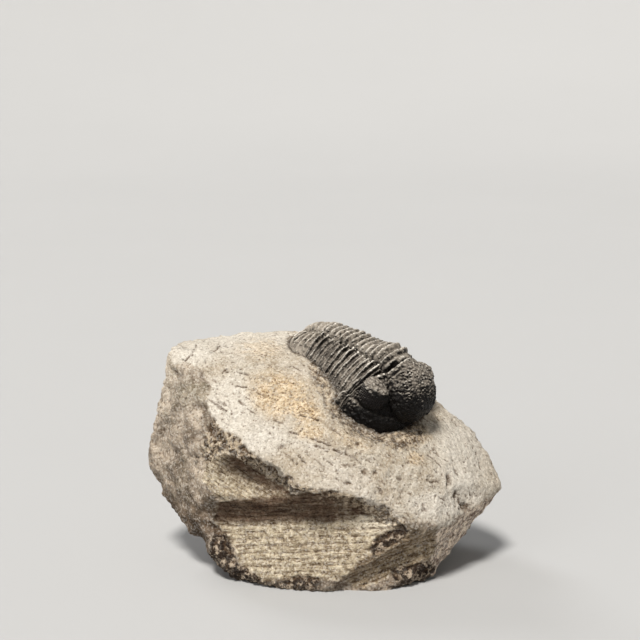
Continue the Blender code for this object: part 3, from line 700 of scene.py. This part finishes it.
def back_height(x, y):
    """Height of thorax and tail over the body's plane."""
    ay = np.abs(y)
    spots = np.stack([x / 5.0, y / 3.5, y * 0], axis=1)
    uneven = lumpiness(spots, 1.0, 41, 2) + 0.35 * lumpiness(spots * 2.3, 1.0, 43, 2)
    worn = ease(0.85 - 0.9 * lumpiness(spots * 1.9, 1.0, 42, 3))
    axis = np.interp(x, [TAIL_TIP + 0.8, TAIL_TIP + 2.5, TAIL_ROOT, 0, NECK], [0.5, 1.5, 3.9, 4.9, 5.6])
    furrow_z = np.interp(x, [TAIL_TIP, -20, TAIL_ROOT, -3, NECK], [1.0, 2.7, 4.1, 4.7, 4.8])
    edge_z = np.interp(x, [TAIL_TIP, TAIL_ROOT, NECK], [-0.3, -1.2, -5.2])
    crown_z = np.interp(x, [TAIL_TIP, -23.5, -22, -20, -18, -15, -10, -4, -1, 2, 5, NECK],
                        [0.5, 1.9, 3.1, 4.6, 5.5, 5.8, 6.3, 6.3, 6.5, 7.2, 8.1, 8.8])
    width = half_width(x)
    flank = np.clip((ay - axis) / np.maximum(width - axis, 0.3), 0.0, None)
    inside = np.clip(1 - np.clip(flank, 0, 1) ** 2.1, 0, 1) ** 0.85
    z = edge_z + (furrow_z - edge_z) * inside + np.clip(crown_z - furrow_z, 0, None) * vault(y / axis)

    # The thorax: overlapping rings along the axis and a rib for each on either flank, some more worn than others
    pitch = (NECK - TAIL_ROOT) / SEGMENTS
    on_axis = ease((axis - ay) / 0.5 + 0.5)
    in_tail = ease((TAIL_ROOT - x) / 1.2)
    place = (NECK - x) / pitch + 0.11 * uneven
    on_ring = place + 0.28 * np.clip(1 - (y / axis) ** 2, 0, 1)
    strength = 1.0 + 0.22 * np.sin(7.3 * np.floor(on_ring) + 2.1)
    on_ring -= np.floor(on_ring)
    rings = RING_HEIGHT * ease((on_ring - 0.10) / 0.74) * ease((1.0 - on_ring) / 0.13) * strength
    rings += 0.22 * hump((on_ring - 0.16) / 0.06) - 0.25 * hump((on_ring - 0.02) / 0.07)
    on_rib = place - (0.035 * np.clip(ay - axis - 2.0, 0, None) ** 2) / pitch
    strength = 1.0 + 0.32 * np.sin(5.1 * np.floor(on_rib) + 0.7)
    on_rib -= np.floor(on_rib)
    ribs = RIB_HEIGHT * strength * hump((on_rib - 0.64) / 0.18) + 0.22 * hump((on_rib - 0.20) / 0.09)
    ribs *= ease((1.0 - flank) / 0.08) * (0.75 + 0.35 * hump((flank - 0.45) / 0.35))
    ribs += 0.35 * hump((ay - axis - 0.85) / 0.32)
    thorax = on_axis * rings + (1 - on_axis) * ribs

    # The tail shield: rings and ribs grown together, the ribs fanning out to the rear
    tail_place = (TAIL_ROOT - x + 0.25 * uneven) / TAIL_RING
    on_tail_rib = tail_place - np.clip(ay - axis, 0, None) * np.interp(x, [TAIL_TIP, TAIL_ROOT], [0.38, 0.06])
    on_tail_rib -= np.floor(on_tail_rib)
    on_tail_ring = tail_place + 0.2 * np.clip(1 - (y / axis) ** 2, 0, 1)
    on_tail_ring -= np.floor(on_tail_ring)
    tail_rings = TAIL_RING_HEIGHT * ease(on_tail_ring / 0.55) * ease((1 - on_tail_ring) / 0.25)
    tail_ribs = TAIL_RIB_HEIGHT * hump((on_tail_rib - 0.5) / 0.20) * ease((1.0 - flank) / 0.2)
    tail = (on_axis * tail_rings + (1 - on_axis) * tail_ribs) * ease((x - TAIL_TIP - 0.8) / 3.0)

    z += ((1 - in_tail) * thorax + in_tail * tail) * (0.72 + 0.28 * worn)
    z -= AXIS_FURROW * hump((ay - axis) / 0.36) * ease((x - TAIL_TIP - 1.5) / 2.0)
    z -= 0.45 * hump((x - TAIL_ROOT - 0.1) / 0.25)
    beyond = np.clip(ay - width, 0, None) + np.clip(x - NECK - 1.5, 0, None) + np.clip(TAIL_TIP + 0.5 - x, 0, None)
    return z - STEEPNESS * beyond


def cheek_height(x, y):
    """Height of the head's cheeks, borders and neck ring, without the bulb between the eyes."""
    ay = np.abs(y)
    back = NECK - 2.6 * np.clip((ay - 5.0) / 9.0, 0, None) ** 2
    forward = np.clip((x - 6.0) / 16.2, 0, None)
    spread = (forward ** HEAD_ROUNDNESS + (ay / CHEEK) ** HEAD_ROUNDNESS) ** (1 / HEAD_ROUNDNESS)
    z = MARGIN_HEIGHT + (CHEEK_TOP - MARGIN_HEIGHT) * np.clip(1 - spread ** 2.6, 0, 1) ** 0.75
    # A raised rim with a furrow inside it, and a border with a furrow along the rear
    behind = x - back
    z += 0.75 * hump((spread - 0.95) / 0.04)
    z -= 0.9 * hump((spread - 0.865) / 0.04) * ease((ay - 3.0) / 3.0)
    z += 0.8 * hump((behind - 0.7) / 0.5) * ease((ay - 3.5) / 2.0)
    z += 0.5 * hump((behind - 2.9) / 0.4) * ease((ay - 3.5) / 2.0)
    z -= 0.7 * hump((behind - 1.8) / 0.4) * ease((ay - 3.5) / 2.0)
    z -= STEEPNESS * (np.clip(spread - 1, 0, None) * CHEEK + np.clip(-behind, 0, None) * 1.2)
    # The neck ring between the cheeks
    ring = 4.8 + 3.9 * vault(y / 5.6) + 0.4 * hump((x - NECK - 0.7) / 0.4) + 0.7 * hump((x - NECK - 1.95) / 0.4)
    beyond = np.clip(NECK - x, 0, None) + np.clip(x - NECK - 7.0, 0, None) + np.clip(ay - 5.6, 0, None)
    ring -= STEEPNESS * beyond
    return np.maximum(z, ring)


bpy.ops.object.select_all(action="DESELECT")
length, breadth = HEAD_TIP - TAIL_TIP + 5.0, 35.0
bpy.ops.mesh.primitive_grid_add(
    x_subdivisions=round(length / SHELL_VOXEL), y_subdivisions=round(breadth / SHELL_VOXEL), size=1.0,
    location=((HEAD_TIP + TAIL_TIP) / 2, 0, 0),
)
shell = bpy.context.object
shell.name = "trilobite_shell"
shell.scale = (length, breadth, 1.0)
bpy.ops.object.transform_apply(location=True, rotation=False, scale=True)
sheet = places(shell)
x, y, _ = sheet.T
sheet[:, 2] = np.maximum(np.maximum(back_height(x, y), cheek_height(x, y)), UNDERSIDE - 1.0)
put(shell, sheet)
open_mesh(shell)
bpy.ops.mesh.extrude_region_move(TRANSFORM_OT_translate={"value": (0, 0, 0)})
bpy.ops.transform.resize(value=(1, 1, 0), center_override=(0, 0, 0))
bpy.ops.transform.translate(value=(0, 0, UNDERSIDE - 3.0))
close_mesh()


def add_ball(name):
    """A fine ball of radius 1 at the origin."""
    bpy.ops.object.select_all(action="DESELECT")
    bpy.ops.mesh.primitive_ico_sphere_add(subdivisions=6, radius=1.0)
    ball = bpy.context.object
    ball.name = name
    return ball


def bulb_form(x, y, z):
    """How the bulb departs from an egg: narrower to the rear, squarer seen from above, and fuller over the neck."""
    narrow = 1.0 - 0.3 * ease((0.3 - x) / 1.2)
    squarer = 0.06 * np.sin(2 * np.arctan2(y, x)) ** 2
    return narrow, squarer, 0.18 * np.sin(2 * np.arctan2(z, x)) ** 2 * (x < 0) * (z > 0)


BULB_CENTRE, BULB_RADII = Vector((15.4, 0.0, 1.7)), (8.4, 7.6, 8.3)
bulb = add_ball("glabella")
x, y, z = places(bulb).T
narrow, squarer, fuller = bulb_form(x, y, z)
square, full = 1.0 + squarer, 1.0 + fuller
put(bulb, np.stack([BULB_CENTRE.x + BULB_RADII[0] * x * square * full, BULB_RADII[1] * y * narrow * square,
                    BULB_CENTRE.z + BULB_RADII[2] * z * full], axis=1))

EYE_CENTRE, EYE_RADII = Vector((12.8, 10.6, 0.9)), (4.3, 3.1, 4.7)
eyes = []
for name, side in ("right_eye", -1), ("left_eye", 1):
    eye = add_ball(name)
    x, y, z = places(eye).T
    flat = np.minimum(z, 0.45 + 0.35 * z)
    lid = hump((z - 0.42) / 0.13) * 0.06
    put(eye, np.stack([EYE_CENTRE.x + EYE_RADII[0] * x * (1 + lid),
                       side * (EYE_CENTRE.y - 1.2 * x * x + EYE_RADII[1] * y * (1 + lid)),
                       EYE_CENTRE.z + EYE_RADII[2] * flat], axis=1))
    open_mesh(eye)
    close_mesh()
    eyes.append(eye)

pick_only(shell)
for piece in [bulb] + eyes:
    piece.select_set(True)
bpy.ops.object.join()
finish_modifier(shell, "REMESH", mode="VOXEL", voxel_size=SHELL_VOXEL)
finish_modifier(shell, "SMOOTH", factor=0.5, iterations=1)
saw_off(shell, UNDERSIDE)

# Tubercles crowd the bulb, finer grains cover rings, flanks and cheeks, and the eyes hold rows of lenses
skin, facing = places(shell), outward(shell)
x, y, z = ((skin - np.array(BULB_CENTRE)) / np.array(BULB_RADII)).T
narrow, squarer, fuller = bulb_form(x, y, z)
off_bulb = np.sqrt(x * x + (y / narrow) ** 2 + z * z) - 1.0 - squarer - fuller
on_bulb = ease((0.07 - np.abs(off_bulb)) / 0.03) * ease((x * BULB_RADII[0] + BULB_CENTRE.x - NECK - 3.3) / 0.6)
TUBERCLE_SPACING, TUBERCLE_HEIGHT, DENT_DEPTH, GRAIN_HEIGHT, CHEEK_GRAIN_HEIGHT = 0.78, 0.24, 0.32, 0.13, 0.22
tubercle = np.clip(1 - (cells(skin, TUBERCLE_SPACING, 35) / 0.62) ** 2, 0, 1) ** 0.8
tubercle *= 0.8 + 0.7 * lumpiness(skin, 2.2, 36, 2)
dents = ease((0.36 - cells(skin, 0.95, 38)) / 0.15) * ease(0.5 + lumpiness(skin, 3.0, 39, 2))
grains = np.clip(1 - cells(skin, 0.75, 31) / 0.42, 0, 1)
coarse_grains = np.clip(1 - (cells(skin, 1.15, 37) / 0.6) ** 2, 0, 1)
x, y, z = skin.T
ay = np.abs(y)
NECK_FURROW, NECK_FURROW_WIDTH, SIDE_FURROW, SIDE_FURROW_WIDTH = 1.15, 0.36, 0.45, 0.40
neck_furrow = hump((x - NECK - 2.9) / NECK_FURROW_WIDTH) * ease((5.9 - ay) / 0.8) * ease((z - 3.5) / 1.0)
neck_furrow *= 1 - 0.65 * ease((y + 1.5) / 3.5)
side_furrow = hump((x - NECK - 4.9) / SIDE_FURROW_WIDTH) * ease((ay - 2.5) / 1.5) * ease((6.2 - ay) / 0.8)
side_furrow *= ease((z - 3.0) / 1.0)
sight = np.hypot((x - EYE_CENTRE.x) / EYE_RADII[0], (ay - EYE_CENTRE.y) / EYE_RADII[1])
on_sight = ease((facing[:, 1] * np.sign(y) - 0.2) / 0.3) * ease((0.75 - facing[:, 2]) / 0.3)
on_sight *= ease((z + 0.9) / 0.5) * ease((2.95 - z) / 0.4) * ease((sight - 0.7) / 0.1) * ease((1.35 - sight) / 0.1)
on_sight *= ease((ay - EYE_CENTRE.y + 0.8) / 0.4)
LENS_PITCH = 0.62
file_turn = np.arctan2(ay - EYE_CENTRE.y + 1.2, x - EYE_CENTRE.x) * EYE_RADII[0] / LENS_PITCH
column = np.floor(file_turn)
tier = z / LENS_PITCH + 0.5 * (column % 2)
lens = np.hypot(file_turn - column - 0.5, tier - np.floor(tier) - 0.5)
lenses = np.clip(1 - (lens / 0.46) ** 2, 0, 1) ** 0.5
deep = z < UNDERSIDE + 0.4
on_cheek = ease((x - NECK - 1.5) / 1.0) * (1 - on_bulb) * (1 - on_sight)
swell = on_bulb * (TUBERCLE_HEIGHT * tubercle - DENT_DEPTH * dents - 0.08)
swell += (1 - on_bulb) * (1 - on_sight) * GRAIN_HEIGHT * grains + on_cheek * CHEEK_GRAIN_HEIGHT * coarse_grains
swell += on_sight * (0.2 * lenses - 0.12) - NECK_FURROW * neck_furrow - SIDE_FURROW * side_furrow
swell += 0.07 * lumpiness(skin, 1.3, 32, 3) + 0.16 * lumpiness(skin, 6.0, 33, 2)
swell += 0.20 * lumpiness(skin, 2.2, 34, 3) * ease((3.5 - z) / 1.5) * ease((x - NECK) / 2.0)
put(shell, skin + facing * (np.where(deep, 0.0, swell))[:, None])
keep(shell, "crests", 0.5 + edge_wear(shell, 5) / 0.30)
keep(shell, "broad_crests", 0.5 + edge_wear(shell, 24) / 0.9)
keep(shell, "sight", on_sight)
rear = ease((NECK + 5.0 - x) / 2.5)
patchy = lumpiness(skin, 1.1, 40, 3)
rubbed = np.maximum(0.7 * ease((5.6 - ay) / 0.8) * ease((NECK + 3 - x) / 0.6), 1.35 * ease((TAIL_ROOT - x) / 1.0))
keep(shell, "rubbed", rubbed * ease(0.75 + 0.6 * patchy))
keep(shell, "face", ease((x - NECK - 4.8) / 1.5) * ease((3.4 + 2.2 * on_bulb - z) / 1.8))
keep(shell, "patchy_dust_and_light", 0.5 + 0.5 * (0.2 * rear + 0.28 * patchy - 0.12))
SHELL_THINNING = 0.62  # share of the faces that is kept; to stay under 200,000 triangles
finish_modifier(shell, "DECIMATE", ratio=SHELL_THINNING)


def bend_and_place(obj):
    """Bends the body over the stone, a little along the thorax and more at neck and tail, and lays it down."""
    s = np.linspace(TAIL_TIP - 6.0, HEAD_TIP + 8.0, 500)
    thorax = BACK_BEND * np.clip((s - (TAIL_ROOT + NECK) / 2) / (NECK - TAIL_ROOT), -0.5, 0.5)
    neck = NECK_BEND * np.clip((s - NECK + 1.0) / BEND_LENGTH, 0, 1)
    tail = TAIL_BEND * np.clip((TAIL_ROOT + 1.0 - s) / BEND_LENGTH, 0, 1)
    angle = np.radians(thorax + neck - tail)
    step = s[1] - s[0]
    along, drop = np.cumsum(np.cos(angle)) * step, np.cumsum(np.sin(angle)) * step
    along, drop = along - np.interp(0.0, s, along), drop - np.interp(0.0, s, drop)
    x, y, z = places(obj).T
    turn, lever = np.interp(x, s, angle), z - HINGE_HEIGHT
    bent = np.stack([np.interp(x, s, along) + lever * np.sin(turn), y,
                     HINGE_HEIGHT - np.interp(x, s, drop) + lever * np.cos(turn)], axis=1)
    put(obj, bent)
    heading, pitch, roll = (math.radians(degrees) for degrees in (HEADING, PITCH, ROLL))
    forward = Vector((math.cos(heading) * math.cos(pitch), -math.sin(heading) * math.cos(pitch), -math.sin(pitch)))
    level = Vector((math.sin(heading), math.cos(heading), 0.0))
    left = level * math.cos(roll) + forward.cross(level) * math.sin(roll)
    turned = Matrix((forward, left, forward.cross(left))).transposed().to_4x4()
    obj.data.transform(Matrix.Translation(BODY_PLACE) @ turned)


bend_and_place(shell)
# Dust and painted light from above lie on what faces up, patchy in places; little lies on the face, which is left
# dark as painted shade
facing_up = 0.03 + outward(shell)[:, 2] + 2 * (kept_values(shell, "patchy_dust_and_light") - 0.5)
keep(shell, "dust_and_top_light", ease(facing_up / 0.55) * (1 - 0.9 * kept_values(shell, "face")))
to_frame(shell)

# Painted shade: the stone is darkened where it meets the shell
CONTACT_REACH = 2 * MM
block_places, shell_places = places(block), places(shell)
shell_tree = kdtree.KDTree(len(shell_places))
for i, vertex in enumerate(shell.data.vertices):
    shell_tree.insert(vertex.co, i)
shell_tree.balance()
near_low, near_high = shell_places.min(axis=0) - CONTACT_REACH, shell_places.max(axis=0) + CONTACT_REACH
near_box = ((block_places > near_low) & (block_places < near_high)).all(axis=1)
gap = np.full(len(block_places), 9.0)
gap[near_box] = [shell_tree.find(point)[2] / MM for point in block_places[near_box]]
keep(block, "painted_contact_shade", ease((1.3 - gap) / 1.0))

calcite = Finish("fossil shell", Specular_IOR_Level=0.14)
dust, film = calcite.grain(1400.0, 4.0, 0.7), calcite.grain(330.0, 4.0, 0.6)
crests, broad_crests, dust_and_top_light = calcite.kept("crests"), calcite.kept("broad_crests"), calcite.kept("dust_and_top_light")
# Crests are lighter, partly from wear and partly as painted highlight
crest_wear_and_highlight = calcite.between(crests, 0.50, 0.92) * (0.52 + 0.23 * calcite.between(film, 0.40, 0.60))
crest_wear_and_highlight = crest_wear_and_highlight + calcite.between(broad_crests, 0.50, 0.85) * 0.3
# Grooves are darkened as painted shade
groove = 1 - calcite.between(crests, 0.20, 0.52)
deep_groove = 1 - calcite.between(broad_crests, 0.22, 0.50)
# Where dust and painted light from above lie, the shell is lighter
dust_and_top_light_colour = calcite.over(
    calcite.mix(calcite.between(dust, 0.34, 0.62), (0.056, 0.048, 0.040, 1), (0.25, 0.218, 0.182, 1)),
    (calcite.between(film, 0.46, 0.68) * 0.7, (0.040, 0.034, 0.029, 1)),
    (calcite.kept("rubbed") * 0.60, (0.38, 0.335, 0.278, 1)),
    (crest_wear_and_highlight * calcite.between(dust, 0.26, 0.50), (0.92, 0.87, 0.78, 1)),
)
# Bare shell, near black as painted shade where it faces away from the light
bare_in_painted_shade = calcite.mix(crest_wear_and_highlight * 0.6, (0.003, 0.0025, 0.0023, 1), (0.012, 0.0095, 0.0085, 1))
carapace = calcite.over(
    bare_in_painted_shade, (dust_and_top_light, dust_and_top_light_colour), (groove * 0.95, (0.008, 0.006, 0.005, 1)), (deep_groove * 0.85, (0.010, 0.008, 0.007, 1)),
    # The eyes' lens faces, darkened as painted shade
    (calcite.kept("sight") * 0.7, (0.012, 0.010, 0.010, 1)),
)
calcite.feed("Base Color", carapace)
calcite.feed("Roughness", 0.20 + 0.20 * dust + 0.12 * film + 0.22 * dust_and_top_light)
wrinkles = calcite.grain(640.0, 3.0, 0.6, 0.6) * (1 - 0.8 * dust_and_top_light)
WRINKLE_DEPTH = 0.0005  # m
calcite.bump(dust * 0.5 + wrinkles * 2.0, WRINKLE_DEPTH)
shell.data.materials.append(calcite.material)
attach(shell, "root")
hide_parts("trilobite")


# Floor and light: a plain pale studio floor that rises gently far out all round, a soft sun-like key from the front,
# high on the left, a weaker light from behind on the left, and a weak fill from the front left.
FLAT_RADIUS, RISE_ANGLE, RISE_STEPS, OUTER_RUN = 1.2, math.radians(32.0), 8, 5.0
rim = [(FLAT_RADIUS, 0.0)]
for i, run in enumerate([0.12] * RISE_STEPS + [OUTER_RUN]):
    climb = RISE_ANGLE * min((i + 0.5) / RISE_STEPS, 1.0)
    rim.append((rim[-1][0] + run * math.cos(climb), rim[-1][1] + run * math.sin(climb)))
rim.reverse()
bpy.ops.object.select_all(action="DESELECT")
bpy.ops.mesh.primitive_circle_add(vertices=96, radius=rim[0][0], location=(0, 0, rim[0][1]), fill_type="NOTHING")
floor = bpy.context.object
floor.name = "studio_floor"
bpy.ops.object.transform_apply(location=True, rotation=False, scale=False)
bpy.ops.object.mode_set(mode="EDIT")
for (radius, rise), (new_radius, new_rise) in zip(rim, rim[1:]):
    bpy.ops.mesh.extrude_region_move(TRANSFORM_OT_translate={"value": (0, 0, new_rise - rise)})
    bpy.ops.transform.resize(value=(new_radius / radius, new_radius / radius, 1), center_override=(0, 0, 0))
bpy.ops.mesh.edge_face_add()
bpy.ops.mesh.select_all(action="SELECT")
bpy.ops.mesh.normals_make_consistent(inside=False)
bpy.ops.mesh.flip_normals()
bpy.ops.object.mode_set(mode="OBJECT")
bpy.ops.object.shade_smooth_by_angle(angle=math.radians(30))
paper = Finish("pale floor", Roughness=0.9, Specular_IOR_Level=0.1)
paper.feed("Base Color", paper.mix(paper.grain(3.0), (0.43, 0.433, 0.437, 1), (0.45, 0.453, 0.457, 1)))
floor.data.materials.append(paper.material)


def add_light(name, kind, place, way, **settings):
    """A light at that place that shines along way."""
    bpy.ops.object.select_all(action="DESELECT")
    bpy.ops.object.light_add(type=kind, location=place, rotation=Vector(way).to_track_quat("-Z", "Y").to_euler())
    light = bpy.context.object
    light.name = name
    for setting, value in settings.items():
        setattr(light.data, setting, value)


add_light("key", "SUN", (-0.4, -0.3, 1.5), (0.19, 0.60, -1.0),
          angle=math.radians(12.0), energy=4.1, color=(1.0, 0.965, 0.91))
add_light("back_light", "SUN", (-0.6, 0.8, 1.0), (0.55, -0.70, -0.75), angle=math.radians(20.0), energy=0.9)
add_light("fill", "AREA", (-1.0, -1.2, 0.8), (1.0, 1.2, -0.77), shape="DISK", size=0.8, energy=4.0)

world = bpy.data.worlds.new("studio")
bpy.context.scene.world = world
world.use_nodes = True
sky = world.node_tree.nodes["Background"].inputs
sky["Color"].default_value, sky["Strength"].default_value = (0.90, 0.885, 0.86, 1), 0.20
bpy.context.scene.view_settings.view_transform = "Standard"
